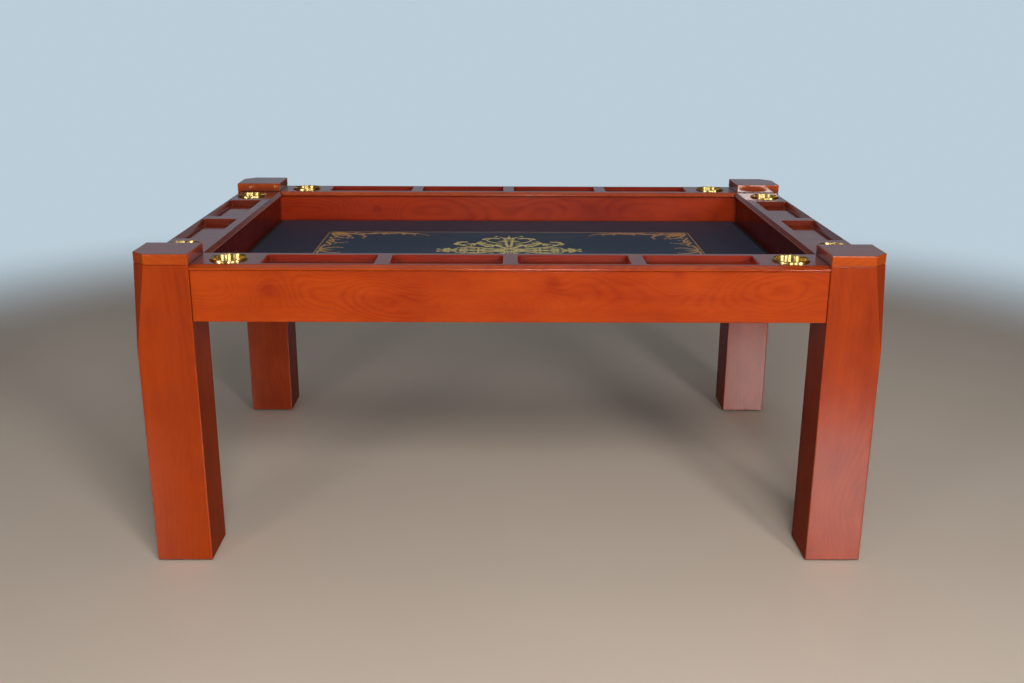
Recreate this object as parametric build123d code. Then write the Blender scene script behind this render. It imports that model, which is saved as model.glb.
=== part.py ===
from build123d import *
import os

# Gaming table: four square posts joined by hollow rails around a sunken play
# area.  Millimetres, +Z up, origin on the floor under the table's centre,
# front towards -Y.

# ---- Whole table ----
LENGTH = 1736.0            # outer face to outer face of the posts, along X
DEPTH = 1192.0             # the same along Y
HEIGHT = 775.0             # top of the post caps
RAIL_TOP = 750.0           # top of the rails and of the posts under their caps
RAIL_BOTTOM = 615.0        # lower edge of the rails
PLAY_TOP = 659.0           # top of the play mat

# ---- Posts and caps ----
POST = 134.0               # square section of a post
POST_LIFT = 5.0            # gap under a post, filled by its levelling foot
CORNER_CLIP = 32.0         # width of the clipped outer corner at the top
CLIP_END = 537.0           # height where the clip has tapered away
POST_ROUND = 2.5           # rounding of the post's vertical edges
SEAM_CHAMFER = 1.5         # small chamfers that meet at the cap seam
CAP_EDGE = 2.0             # rounding of the cap's upright and top edges

# ---- Rail section, measured inwards from the outer face ----
LIP = 4.0                  # overhang of the rail top outside the apron
APRON = 15.0               # thickness of the apron
BOARD = 18.0               # thickness of the liner
INNER_LIP = 10.0           # overhang of the rail top over the play area
TOP_THICK = 24.0           # rail top at its thickest
LIP_UNDER = 13.5           # depth of both lips' underside below the rail top
BEVEL_IN = 13.0            # width of the outer bevel
BEVEL_DOWN = 7.5           # drop of both bevels
BEAD = 3.0                 # vertical face under a bevel
BEAD_ROUND = 1.2           # rounding of the bead
APRON_ROUND = 2.0          # rounding of the apron's lower edge and ends

# ---- Accessory row along each rail ----
LONG_ROW = 69.0            # centre line of trays and cups on the long rails, from the outer face
SHORT_ROW = 63.5           # the same on the short rails
TRAY_WIDTH = 94.0
TRAY_DEPTH = 14.0
TRAY_SLOPE = 6.0           # how far each tray wall leans in from rim to floor
TRAY_CORNER = 9.0
TRAY_COVE = 3.5            # rounding between tray wall and floor
RIM_CHAMFER = 1.2
LONG_TRAY = 262.0
LONG_PITCH = 297.0
SHORT_TRAY = 270.0
SHORT_PITCH = 312.0
LONG_CUP = 77.0            # cup axis from the end of a long rail
SHORT_CUP = 82.0           # the same on a short rail

# ---- Drop-in cups ----
CUP_FLANGE_R = 44.5
CUP_BODY_R = 38.0
CUP_WALL = 1.2
CUP_DROP = 60.0            # cup body below the rail top
RIM_CREST = 4.0            # height of the rolled rim
RIM_CREST_R = 41.0         # radius of the rolled rim's crest
RIM_EDGE = 0.8             # thickness at the flange's outer edge
CUP_CORNER = 4.0           # rounding of the cup's base
CUP_HOLE_R = CUP_BODY_R + 0.3

# ---- Play area ----
MAT_CLOTH = 0.6
MAT_BASE = 2.4
FLOOR_THICK = 15.0
FLOOR_GAP = 0.5            # gap between play board and liners
MAT_GAP = 1.5              # gap between the mat and the inner lips
MAT_CORNER = 6.0
LEDGE_WIDTH = 22.0
LEDGE_HEIGHT = 25.0
BEARER_WIDTH = 60.0
BEARER_PITCH = 367.0

# ---- Blocks inside the rails ----
END_BLOCK = 36.0           # length of the block that meets a post
BLOCK_BOTTOM = 620.0
SPACER = 18.0
SPACER_BOTTOM = 650.0

# ---- Fasteners ----
BOLT_R = 4.0
BOLT_HEAD_R = 6.5
BOLT_HEAD = 8.0
BOLT_INTO_POST = 34.0
BOLT_HEIGHTS = (640.0, 674.0)
WASHER_R = 10.0
WASHER = 2.0
INSERT_R = 7.0
INSERT_LENGTH = 28.0
DOWEL_R = 5.0
DOWEL_LENGTH = 40.0
DOWEL_HEIGHT = 704.0
DOWEL_OFFSET = 25.0
CAP_DOWEL_R = 6.0
CAP_DOWEL_LENGTH = 30.0
CAP_DOWEL_OFFSET = 24.0
SCREW_R = 2.0
SCREW_HEAD_R = 4.0
SCREW_HEAD = 2.5
LEDGE_SCREW = 34.0
LEDGE_SCREW_HEIGHT = 628.0
SHORT_LEDGE_PITCH = 300.0
BEARER_SCREW = 80.0
BOARD_SCREW = 34.0
BOARD_SCREW_PITCH = 330.0
BOARD_SCREW_SIDE = 240.0   # offset of the screws in the side ledges
BOARD_SCREW_INNER = 150.0  # offset of the screws in the bearers

# ---- Levelling feet ----
PAD_R = 26.0
STEM_R = 5.0
STEM_LENGTH = 56.0
STEM_SEAT = 2.0            # thickness of the pad under the stem
STEM_CLEARANCE = 0.05
FOOT_INSERT_R = 8.0
FOOT_INSERT_LENGTH = 25.0
STEM_WELL = 6.5            # radius of the clearance hole above the insert
STEM_WELL_TOP = 68.0

# ---- Derived ----
POST_X = LENGTH / 2 - POST / 2
POST_Y = DEPTH / 2 - POST / 2
LONG_RAIL = LENGTH - 2 * POST
SHORT_RAIL = DEPTH - 2 * POST
APRON_IN = LIP + APRON
LINER_OUT = POST - BOARD
RAIL_MID = (APRON_IN + LINER_OUT) / 2
REBATE = RAIL_TOP - LIP_UNDER
FLOOR_TOP = PLAY_TOP - MAT_CLOTH - MAT_BASE
FLOOR_BOTTOM = FLOOR_TOP - FLOOR_THICK
LEDGE_BOTTOM = FLOOR_BOTTOM - LEDGE_HEIGHT

SIDES = {
    "front": (0, -DEPTH / 2, 0, LONG_RAIL),
    "right": (LENGTH / 2, 0, 90, SHORT_RAIL),
    "back": (0, DEPTH / 2, 180, LONG_RAIL),
    "left": (-LENGTH / 2, 0, 270, SHORT_RAIL),
}
CORNERS = {
    "front_left": (-1, -1),
    "front_right": (1, -1),
    "back_left": (-1, 1),
    "back_right": (1, 1),
}


def on_side(side, shape):
    """Move a rail piece, drawn along X with +Y inwards, to its side of the table."""
    x, y, turn, _ = SIDES[side]
    return Pos(x, y, 0) * Rot(0, 0, turn) * shape


def span(x, y, z):
    """A box between pairs of low and high coordinates."""
    size = [high - low for low, high in (x, y, z)]
    return Pos(x[0], y[0], z[0]) * Box(*size, align=(Align.MIN, Align.MIN, Align.MIN))


def rod(radius, length, start, direction):
    """A cylinder from a start point along a direction."""
    return Plane(origin=start, z_dir=direction) * Cylinder(
        radius, length, align=(Align.CENTER, Align.CENTER, Align.MIN)
    )


def group(solids):
    """One node made of separate solids."""
    return Compound(children=list(solids))


def spaced(count, pitch):
    """Evenly spaced places about zero."""
    return [(i - (count - 1) / 2) * pitch for i in range(count)]


def near(solids, sx, sy):
    """The solids whose centre lies in one quarter of the table."""
    centres = [(solid, solid.bounding_box().center()) for solid in solids]
    return [solid for solid, c in centres if c.X * sx > 0 and c.Y * sy > 0]


# ---------------------------------------------------------------- fasteners
def screw(length, start, direction):
    """A countersunk wood screw with its head flush at the start point."""
    seat = Plane(origin=start, z_dir=direction)
    head = seat * Cone(
        SCREW_HEAD_R, SCREW_R, SCREW_HEAD, align=(Align.CENTER, Align.CENTER, Align.MIN)
    )
    return head + rod(SCREW_R, length, start, direction)


def rail_ends(side):
    """Both ends of a rail, as the end's x and the direction out of it."""
    half = SIDES[side][3] / 2
    return ((half, 1), (-half, -1))


def rail_bolts(side):
    """Socket-head bolts through the end blocks into the posts."""
    bolts = []
    for end, out in rail_ends(side):
        seat = end - out * (END_BLOCK + WASHER)
        for height in BOLT_HEIGHTS:
            shank = rod(
                BOLT_R, END_BLOCK + WASHER + BOLT_INTO_POST, (seat, RAIL_MID, height), (out, 0, 0)
            )
            head = rod(BOLT_HEAD_R, BOLT_HEAD, (seat, RAIL_MID, height), (-out, 0, 0))
            bolts.append(on_side(side, shank + head))
    return bolts


def rail_washers(side):
    """A flat washer under each bolt head."""
    washers = []
    for end, out in rail_ends(side):
        face = end - out * END_BLOCK
        for height in BOLT_HEIGHTS:
            disc = rod(WASHER_R, WASHER, (face, RAIL_MID, height), (-out, 0, 0))
            hole = rod(BOLT_R, WASHER, (face, RAIL_MID, height), (-out, 0, 0))
            washers.append(on_side(side, disc - hole))
    return washers


def bolt_line_rods(side, radius):
    """Rods of an insert's length on each bolt's axis, from the rail's end into the post."""
    rods = []
    for end, out in rail_ends(side):
        for height in BOLT_HEIGHTS:
            rods.append(on_side(side, rod(radius, INSERT_LENGTH, (end, RAIL_MID, height), (out, 0, 0))))
    return rods


def post_inserts(side):
    """Threaded inserts in the posts, one for each rail bolt."""
    bores = bolt_line_rods(side, BOLT_R)
    return [sleeve - bore for sleeve, bore in zip(bolt_line_rods(side, INSERT_R), bores)]


def rail_dowels(side):
    """Wooden pins that locate each rail end on its post."""
    dowels = []
    for end, out in rail_ends(side):
        for inward in (RAIL_MID - DOWEL_OFFSET, RAIL_MID + DOWEL_OFFSET):
            start = (end - out * DOWEL_LENGTH / 2, inward, DOWEL_HEIGHT)
            dowels.append(on_side(side, rod(DOWEL_R, DOWEL_LENGTH, start, (out, 0, 0))))
    return dowels


def cap_dowels():
    """Two wooden pins between each post and its cap."""
    dowels = []
    for sx, sy in CORNERS.values():
        for offset in (-CAP_DOWEL_OFFSET, CAP_DOWEL_OFFSET):
            start = (
                sx * POST_X + offset,
                sy * POST_Y + sx * sy * -offset,
                RAIL_TOP - CAP_DOWEL_LENGTH / 2,
            )
            dowels.append(rod(CAP_DOWEL_R, CAP_DOWEL_LENGTH, start, (0, 0, 1)))
    return dowels


def ledge_screws(side):
    """Screws from the hollow of a rail through its liner into the ledge."""
    if SIDES[side][3] == LONG_RAIL:
        pitch, count = BEARER_PITCH, 4
    else:
        pitch, count = SHORT_LEDGE_PITCH, 3
    screws = []
    for x in spaced(count, pitch):
        start = (x, LINER_OUT, LEDGE_SCREW_HEIGHT)
        screws.append(on_side(side, screw(LEDGE_SCREW, start, (0, 1, 0))))
    return screws


def bearer_screws():
    """Long screws through liner and ledge into both ends of each bearer."""
    screws = []
    for side in ("front", "back"):
        for x in spaced(3, BEARER_PITCH):
            start = (x, LINER_OUT, LEDGE_SCREW_HEIGHT)
            screws.append(on_side(side, screw(BEARER_SCREW, start, (0, 1, 0))))
    return screws


def board_screws():
    """Screws that hold the play board down on its ledges and bearers."""
    ledge_y = DEPTH / 2 - POST - LEDGE_WIDTH / 2
    ledge_x = LENGTH / 2 - POST - LEDGE_WIDTH / 2
    places = [(x, sy * ledge_y) for x in spaced(4, BOARD_SCREW_PITCH) for sy in (-1, 1)]
    places += [(sx * ledge_x, y) for sx in (-1, 1) for y in (-BOARD_SCREW_SIDE, BOARD_SCREW_SIDE)]
    places += [(x, y) for x in spaced(3, BEARER_PITCH) for y in (-BOARD_SCREW_INNER, BOARD_SCREW_INNER)]
    return [screw(BOARD_SCREW, (x, y, FLOOR_TOP), (0, 0, -1)) for x, y in places]


# -------------------------------------------------------------------- posts
def clip_plane(sx, sy):
    """The plane that clips a post's outer corner, tapering away downwards."""
    corner_x = sx * LENGTH / 2
    corner_y = sy * DEPTH / 2
    fall = CORNER_CLIP / (2 ** 0.5) / (RAIL_TOP - CLIP_END)
    normal = Vector(sx, sy, fall * 2 ** 0.5)
    return Plane(origin=(corner_x, corner_y, CLIP_END), z_dir=normal)


def post(sx, sy, cutters):
    """A post with its tapering corner clip and its joinery holes."""
    body = Pos(sx * POST_X, sy * POST_Y, POST_LIFT) * Box(
        POST, POST, RAIL_TOP - POST_LIFT, align=(Align.CENTER, Align.CENTER, Align.MIN)
    )
    body = fillet(body.edges().filter_by(Axis.Z), POST_ROUND)
    body = split(body, bisect_by=clip_plane(sx, sy), keep=Keep.BOTTOM)
    body = chamfer(body.faces().sort_by(Axis.Z)[-1].edges(), SEAM_CHAMFER)
    body = chamfer(body.faces().sort_by(Axis.Z)[0].edges(), SEAM_CHAMFER)
    foot = (sx * POST_X, sy * POST_Y, POST_LIFT)
    body -= rod(FOOT_INSERT_R, FOOT_INSERT_LENGTH, foot, (0, 0, 1))
    body -= rod(STEM_WELL, STEM_WELL_TOP - POST_LIFT, foot, (0, 0, 1))
    for cutter in cutters:
        body -= cutter
    return body


def cap(sx, sy):
    """The flat cap of a post, with the same clipped corner as the post's top."""
    half = POST / 2
    clip = half - CORNER_CLIP
    outline = [(-half, -half), (half, -half), (half, clip), (clip, half), (-half, half)]
    points = [(sx * x, sy * y) for x, y in outline]
    plate = extrude(make_face(Polyline(*points, close=True)), amount=HEIGHT - RAIL_TOP, dir=(0, 0, 1))
    plate = Pos(sx * POST_X, sy * POST_Y, RAIL_TOP) * plate
    plate = fillet(plate.edges().filter_by(Axis.Z), CAP_EDGE)
    plate = fillet(plate.faces().sort_by(Axis.Z)[-1].edges(), CAP_EDGE)
    plate = chamfer(plate.faces().sort_by(Axis.Z)[0].edges(), SEAM_CHAMFER)
    for dowel in near(cap_dowels(), sx, sy):
        plate -= dowel
    return plate


# -------------------------------------------------------------------- rails
def rail_top_section():
    """Cross-section of a rail top: lips and bevels outside and inside, rebated below."""
    top = RAIL_TOP
    bead_top = top - BEVEL_DOWN
    bead_low = bead_top - BEAD
    inner = POST + INNER_LIP
    outline = [
        (BEVEL_IN, top),
        (0, bead_top),
        (0, bead_low),
        (BEAD, REBATE),
        (APRON_IN, REBATE),
        (APRON_IN, top - TOP_THICK),
        (LINER_OUT, top - TOP_THICK),
        (LINER_OUT, REBATE),
        (inner - BEAD, REBATE),
        (inner, bead_low),
        (inner, bead_top),
        (POST, top),
    ]
    section = make_face(Polyline(*outline, close=True))
    beads = [v for v in section.vertices() if abs(v.Y - bead_top) < 0.1 or abs(v.Y - bead_low) < 0.1]
    section = fillet(beads, BEAD_ROUND)
    crests = [v for v in section.vertices() if abs(v.Y - top) < 0.01]
    return fillet(crests, RIM_CHAMFER)


def accessory_row(side):
    """A rail's centre line of trays and cups, its cups' distance from the ends, and its trays."""
    if SIDES[side][3] == LONG_RAIL:
        return LONG_ROW, LONG_CUP, LONG_TRAY, spaced(4, LONG_PITCH)
    return SHORT_ROW, SHORT_CUP, SHORT_TRAY, spaced(2, SHORT_PITCH)


def tray_pocket(length):
    """A tray's hollow: chamfered rim, leaning walls and a coved floor, rim at z = 0."""
    def outline(grow, z):
        shape = RectangleRounded(length + 2 * grow, TRAY_WIDTH + 2 * grow, TRAY_CORNER + grow / 2)
        return Pos(0, 0, z) * shape

    rim = loft([outline(RIM_CHAMFER, 0), outline(0, -RIM_CHAMFER)], ruled=True)
    walls = loft([outline(0, -RIM_CHAMFER), outline(-TRAY_SLOPE, -TRAY_DEPTH)], ruled=True)
    walls = fillet(walls.faces().sort_by(Axis.Z)[0].edges(), TRAY_COVE)
    return rim + walls


def rail_top(side):
    """A rail's top board with its trays, cup holes and mitred inner lip."""
    length = SIDES[side][3]
    section = Plane.YZ * rail_top_section()
    board = extrude(section, amount=length / 2, both=True)
    row, cup_from_end, tray, places = accessory_row(side)
    pocket = tray_pocket(tray)
    for x in places:
        board -= Pos(x, row, RAIL_TOP) * pocket
    reach = 2 * INNER_LIP
    for end, out in rail_ends(side):
        board -= rod(CUP_HOLE_R, TOP_THICK, (end - out * cup_from_end, row, RAIL_TOP), (0, 0, -1))
        mitre = Polyline((end, POST), (end, POST + reach), (end - out * reach, POST + reach), close=True)
        wedge = extrude(make_face(mitre), amount=TOP_THICK, both=True)
        board -= Pos(0, 0, RAIL_TOP) * wedge
    return on_side(side, board)


def apron(side):
    """The outer face board of a rail, its face rounded over along the bottom and ends."""
    half = SIDES[side][3] / 2
    board = span((-half, half), (LIP, APRON_IN), (RAIL_BOTTOM, REBATE))
    face = board.faces().sort_by(Axis.Y)[0]
    rounded = [e for e in face.edges() if e.center().Z < REBATE - 1]
    return on_side(side, fillet(rounded, APRON_ROUND))


def liner(side, cutters):
    """The board between a rail and the play area."""
    half = SIDES[side][3] / 2
    board = on_side(side, span((-half, half), (LINER_OUT, POST), (RAIL_BOTTOM, REBATE)))
    for cutter in cutters:
        board -= cutter
    return board


def end_blocks(sides, cutters):
    """Blocks that close the rails' ends and take the bolts to the posts."""
    blocks = []
    for side in sides:
        for end, out in rail_ends(side):
            x = sorted((end - out * END_BLOCK, end))
            block = on_side(side, span(x, (APRON_IN, LINER_OUT), (BLOCK_BOTTOM, RAIL_TOP - TOP_THICK)))
            for cutter in cutters:
                block -= cutter
            blocks.append(block)
    return group(blocks)


def spacer_blocks():
    """Blocks between apron and liner that carry the rail top between its trays."""
    blocks = []
    for side, (_, _, _, length) in SIDES.items():
        for x in spaced(3 if length == LONG_RAIL else 1, LONG_PITCH):
            block = span(
                (x - SPACER / 2, x + SPACER / 2),
                (APRON_IN, LINER_OUT),
                (SPACER_BOTTOM, RAIL_TOP - TOP_THICK),
            )
            blocks.append(on_side(side, block))
    return group(blocks)


# ---------------------------------------------------------------- play area
def ledge(side, cutters):
    """The strip along a liner that the play board rests on."""
    half = SIDES[side][3] / 2
    if SIDES[side][3] == SHORT_RAIL:
        half -= LEDGE_WIDTH
    strip = on_side(side, span((-half, half), (POST, POST + LEDGE_WIDTH), (LEDGE_BOTTOM, FLOOR_BOTTOM)))
    for cutter in cutters:
        strip -= cutter
    return strip


def bearer(index, cutters):
    """A batten across the table under the play board."""
    reach = DEPTH / 2 - POST - LEDGE_WIDTH
    x = index * BEARER_PITCH
    width = (x - BEARER_WIDTH / 2, x + BEARER_WIDTH / 2)
    batten = span(width, (-reach, reach), (LEDGE_BOTTOM, FLOOR_BOTTOM))
    for cutter in cutters:
        batten -= cutter
    return batten


def play_board(cutters):
    """The fixed floor of the play area."""
    board = Pos(0, 0, FLOOR_BOTTOM) * Box(
        LONG_RAIL - 2 * FLOOR_GAP,
        SHORT_RAIL - 2 * FLOOR_GAP,
        FLOOR_THICK,
        align=(Align.CENTER, Align.CENTER, Align.MIN),
    )
    for cutter in cutters:
        board -= cutter
    return board


def mat_layer(bottom, thickness):
    """One layer of the loose mat, which lifts out between the inner lips."""
    length = LONG_RAIL - 2 * (INNER_LIP + MAT_GAP)
    width = SHORT_RAIL - 2 * (INNER_LIP + MAT_GAP)
    return Pos(0, 0, bottom) * extrude(RectangleRounded(length, width, MAT_CORNER), amount=thickness)


# --------------------------------------------------------------------- cups
def cup_shell():
    """A drop-in cup with a rolled rim, turned about Z, with its flange's underside at z = 0."""
    inner = CUP_BODY_R - CUP_WALL
    floor = CUP_WALL - CUP_DROP
    edge = (CUP_FLANGE_R, RIM_EDGE)
    crest = (RIM_CREST_R, RIM_CREST)
    outer_bulge = (CUP_FLANGE_R - 1.0, RIM_CREST - 1.1)
    inner_bulge = (inner + 1.3, RIM_CREST - 1.1)
    outline = [
        Line((0, -CUP_DROP), (CUP_BODY_R, -CUP_DROP)),
        Line((CUP_BODY_R, -CUP_DROP), (CUP_BODY_R, 0)),
        Line((CUP_BODY_R, 0), (CUP_FLANGE_R, 0)),
        Line((CUP_FLANGE_R, 0), edge),
        ThreePointArc(edge, outer_bulge, crest),
        ThreePointArc(crest, inner_bulge, (inner, 0)),
        Line((inner, 0), (inner, floor)),
        Line((inner, floor), (0, floor)),
        Line((0, floor), (0, -CUP_DROP)),
    ]
    profile = make_face(outline)
    base = [v for v in profile.vertices() if abs(v.X - CUP_BODY_R) < 0.1 and v.Y < -1]
    profile = fillet(base, CUP_CORNER)
    bowl = [v for v in profile.vertices() if abs(v.X - inner) < 0.1 and v.Y < -1]
    profile = fillet(bowl, CUP_CORNER - CUP_WALL)
    return revolve(Plane.XZ * profile, axis=Axis.Z)


def cup_places():
    """Each cup's name and its axis position."""
    x = LONG_RAIL / 2 - LONG_CUP
    y = SHORT_RAIL / 2 - SHORT_CUP
    row_x = LENGTH / 2 - SHORT_ROW
    row_y = DEPTH / 2 - LONG_ROW
    return {
        "front_left": (-x, -row_y),
        "front_right": (x, -row_y),
        "right_front": (row_x, -y),
        "right_back": (row_x, y),
        "back_right": (x, row_y),
        "back_left": (-x, row_y),
        "left_back": (-row_x, y),
        "left_front": (-row_x, -y),
    }


# --------------------------------------------------------------------- feet
def foot_insert(sx, sy):
    """The threaded insert in a post's foot."""
    start = (sx * POST_X, sy * POST_Y, POST_LIFT)
    sleeve = rod(FOOT_INSERT_R, FOOT_INSERT_LENGTH, start, (0, 0, 1))
    return sleeve - rod(STEM_R + STEM_CLEARANCE, FOOT_INSERT_LENGTH, start, (0, 0, 1))


def foot_stem(sx, sy):
    """The threaded stem of a levelling foot."""
    return rod(STEM_R, STEM_LENGTH, (sx * POST_X, sy * POST_Y, STEM_SEAT), (0, 0, 1))


def foot_pad(sx, sy):
    """The round pad that a post stands on."""
    pad = rod(PAD_R, POST_LIFT, (0, 0, 0), (0, 0, 1))
    pad = fillet(pad.edges().sort_by(Axis.Z)[0], 1.0)
    pad = Pos(sx * POST_X, sy * POST_Y, 0) * pad
    return pad - foot_stem(sx, sy)


# --------------------------------------------------------------- whole table
def build():
    """Every node of the table by name."""
    bolts = [b for side in SIDES for b in rail_bolts(side)]
    inserts = [i for side in SIDES for i in post_inserts(side)]
    dowels = [d for side in SIDES for d in rail_dowels(side)]
    to_ledge = [s for side in SIDES for s in ledge_screws(side)]
    to_bearer = bearer_screws()
    to_board = board_screws()

    insert_holes = [h for side in SIDES for h in bolt_line_rods(side, INSERT_R)]
    joinery = bolts + insert_holes + dowels + cap_dowels()

    nodes = {}
    for name, (sx, sy) in CORNERS.items():
        nodes[f"post_{name}"] = post(sx, sy, near(joinery, sx, sy))
        nodes[f"post_cap_{name}"] = cap(sx, sy)
        nodes[f"foot_pad_{name}"] = foot_pad(sx, sy)
        nodes[f"foot_stem_{name}"] = foot_stem(sx, sy)

    for side in SIDES:
        nodes[f"rail_top_{side}"] = rail_top(side)
        nodes[f"apron_{side}"] = apron(side)
        nodes[f"liner_{side}"] = liner(side, to_ledge + to_bearer)
        nodes[f"ledge_{side}"] = ledge(side, to_ledge + to_bearer + to_board)

    nodes["end_blocks_long_rails"] = end_blocks(("front", "back"), bolts + dowels)
    nodes["end_blocks_short_rails"] = end_blocks(("left", "right"), bolts + dowels)
    nodes["rail_spacer_blocks"] = spacer_blocks()

    for index, name in ((-1, "left"), (0, "middle"), (1, "right")):
        nodes[f"bearer_{name}"] = bearer(index, to_bearer + to_board)
    nodes["play_board"] = play_board(to_board)
    nodes["play_mat_base"] = mat_layer(FLOOR_TOP, MAT_BASE)
    nodes["play_mat_cloth"] = mat_layer(FLOOR_TOP + MAT_BASE, MAT_CLOTH)

    for name, (x, y) in cup_places().items():
        nodes[f"cup_{name}"] = Pos(x, y, RAIL_TOP) * cup_shell()

    nodes["foot_inserts"] = group(foot_insert(sx, sy) for sx, sy in CORNERS.values())
    nodes["post_inserts"] = group(inserts)
    nodes["rail_bolts"] = group(bolts)
    nodes["rail_bolt_washers"] = group(w for side in SIDES for w in rail_washers(side))
    nodes["rail_dowels"] = group(dowels)
    nodes["cap_dowels"] = group(cap_dowels())
    nodes["ledge_screws"] = group(to_ledge)
    nodes["bearer_screws"] = group(to_bearer)
    nodes["board_screws"] = group(to_board)
    return nodes


if __name__ == "__main__":
    os.makedirs("parts", exist_ok=True)
    for node, shape in build().items():
        export_step(shape, f"parts/{node}.step")
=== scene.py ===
"""Gaming table: looks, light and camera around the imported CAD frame.  Metres, front to -Y, +Z up."""
import math
import random

import bpy
from mathutils import Euler, Matrix, Vector


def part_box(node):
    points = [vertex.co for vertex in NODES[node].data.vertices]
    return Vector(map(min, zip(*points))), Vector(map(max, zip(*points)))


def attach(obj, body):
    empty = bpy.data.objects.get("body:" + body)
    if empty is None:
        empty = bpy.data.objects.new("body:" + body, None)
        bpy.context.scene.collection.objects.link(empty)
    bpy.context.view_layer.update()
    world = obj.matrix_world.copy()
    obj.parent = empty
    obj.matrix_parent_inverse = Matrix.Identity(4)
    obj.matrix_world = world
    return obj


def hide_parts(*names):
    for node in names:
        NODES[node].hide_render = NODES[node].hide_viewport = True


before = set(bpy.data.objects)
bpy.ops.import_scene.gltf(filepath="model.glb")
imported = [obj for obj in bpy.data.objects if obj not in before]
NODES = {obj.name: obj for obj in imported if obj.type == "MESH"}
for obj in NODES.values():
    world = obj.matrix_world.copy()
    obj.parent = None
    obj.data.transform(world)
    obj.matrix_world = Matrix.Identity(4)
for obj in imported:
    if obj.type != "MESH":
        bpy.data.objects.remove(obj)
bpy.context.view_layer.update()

MAT_BODY = "play_mat"
MM = 0.001


# ------------------------------------------------------------ node graph help
class Nodes:
    """A node tree, with short calls for the nodes used here."""

    def __init__(self, tree):
        self.tree = tree

    def feed(self, socket, source):
        """Link a node's output, or set a plain value."""
        if isinstance(source, bpy.types.NodeSocket):
            self.tree.links.new(source, socket)
        else:
            socket.default_value = source

    def node(self, kind, output=0, props=None, **inputs):
        """A new node's output.  props are its settings; Some_Name=value feeds its Some Name."""
        made = self.tree.nodes.new(kind)
        for key, value in (props or {}).items():
            setattr(made, key, value)
        for key, value in inputs.items():
            self.feed(made.inputs[key.replace("_", " ")], value)
        return made.outputs[output]

    def math(self, operation, a, b=0.0, clamp=False):
        made = self.tree.nodes.new("ShaderNodeMath")
        made.operation = operation
        made.use_clamp = clamp
        self.feed(made.inputs[0], a)
        self.feed(made.inputs[1], b)
        return made.outputs[0]

    def scaled(self, value, factor, start=0.0, clamp=False):
        """value * factor + start."""
        return self.math("ADD", self.math("MULTIPLY", value, factor), start, clamp)

    def centred(self, value, weight):
        """A value from 0 to 1 as a swing of half the weight either way."""
        return self.math("MULTIPLY", self.math("SUBTRACT", value, 0.5), weight)

    def squares(self, a, b):
        """a * a + b * b."""
        return self.math("ADD", self.math("MULTIPLY", a, a), self.math("MULTIPLY", b, b))

    def vector(self, operation, a, b, output=0):
        """Output 0 is the operation's vector, and output 1 its single value."""
        made = self.tree.nodes.new("ShaderNodeVectorMath")
        made.operation = operation
        self.feed(made.inputs[0], a)
        self.feed(made.inputs[1], b)
        return made.outputs[output]

    def split(self, vector):
        """The x, y and z of a vector."""
        made = self.tree.nodes.new("ShaderNodeSeparateXYZ")
        self.feed(made.inputs[0], vector)
        return made.outputs

    def mix(self, factor, a, b):
        """Colour a where the factor is 0, and b where it is 1."""
        made = self.tree.nodes.new("ShaderNodeMix")
        made.data_type = "RGBA"
        self.feed(made.inputs[0], factor)
        self.feed(made.inputs[6], a)
        self.feed(made.inputs[7], b)
        return made.outputs[2]

    def ramp(self, value, low, high):
        """0 below low, 1 above high, smooth between."""
        made = self.tree.nodes.new("ShaderNodeMapRange")
        made.interpolation_type = "SMOOTHSTEP"
        self.feed(made.inputs["Value"], value)
        made.inputs["From Min"].default_value = low
        made.inputs["From Max"].default_value = high
        return made.outputs["Result"]

    def noise(self, vector, scale, detail=2.0, roughness=0.5):
        return self.node(
            "ShaderNodeTexNoise", Vector=vector, Scale=scale, Detail=detail, Roughness=roughness,
        )

    def stretched(self, vector, scales, detail=2.0, roughness=0.5):
        """Noise with its own scale in each direction."""
        return self.noise(self.vector("MULTIPLY", vector, scales), 1.0, detail, roughness)


class Graph(Nodes):
    """A material's node tree round its Principled shader."""

    def __init__(self, name):
        self.material = bpy.data.materials.new(name)
        self.material.use_nodes = True
        super().__init__(self.material.node_tree)
        self.shader = self.tree.nodes["Principled BSDF"]

    def shade(self, **sources):
        """Feed the shader: Coat_Weight=1 sets its Coat Weight."""
        for key, source in sources.items():
            self.feed(self.shader.inputs[key.replace("_", " ")], source)

    def place(self):
        """Position on the piece, in metres."""
        return self.node("ShaderNodeTexCoord", "Object")

    def normal(self):
        """Direction the surface faces."""
        return self.node("ShaderNodeNewGeometry", "Normal")

    def bump(self, height, distance, strength=1.0, normal=None):
        made = self.tree.nodes.new("ShaderNodeBump")
        made.inputs["Strength"].default_value = strength
        made.inputs["Distance"].default_value = distance
        self.feed(made.inputs["Height"], height)
        if normal is not None:
            self.feed(made.inputs["Normal"], normal)
        return made.outputs[0]


def rgb(red, green, blue):
    return (red, green, blue, 1.0)


def toned(tint, factor):
    """A colour with every channel times the factor."""
    return rgb(*(channel * factor for channel in tint))


# ----------------------------------------------------------------------- wood
GRAIN_TURNS = {
    # turn that brings the grain onto +X and the direction across the face onto +Y
    "x_upright": (-math.pi / 2, 0.0, 0.0),
    "x_flat": (0.0, 0.0, 0.0),
    "y_upright": (-math.pi / 2, -math.pi / 2, 0.0),
    "y_flat": (0.0, 0.0, -math.pi / 2),
    "z_front": (math.pi / 2, 0.0, math.pi / 2),
}
SEED_SHIFT = (1.73, 0.91, 2.37)  # how far apart two seeds lie in the noise

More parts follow.
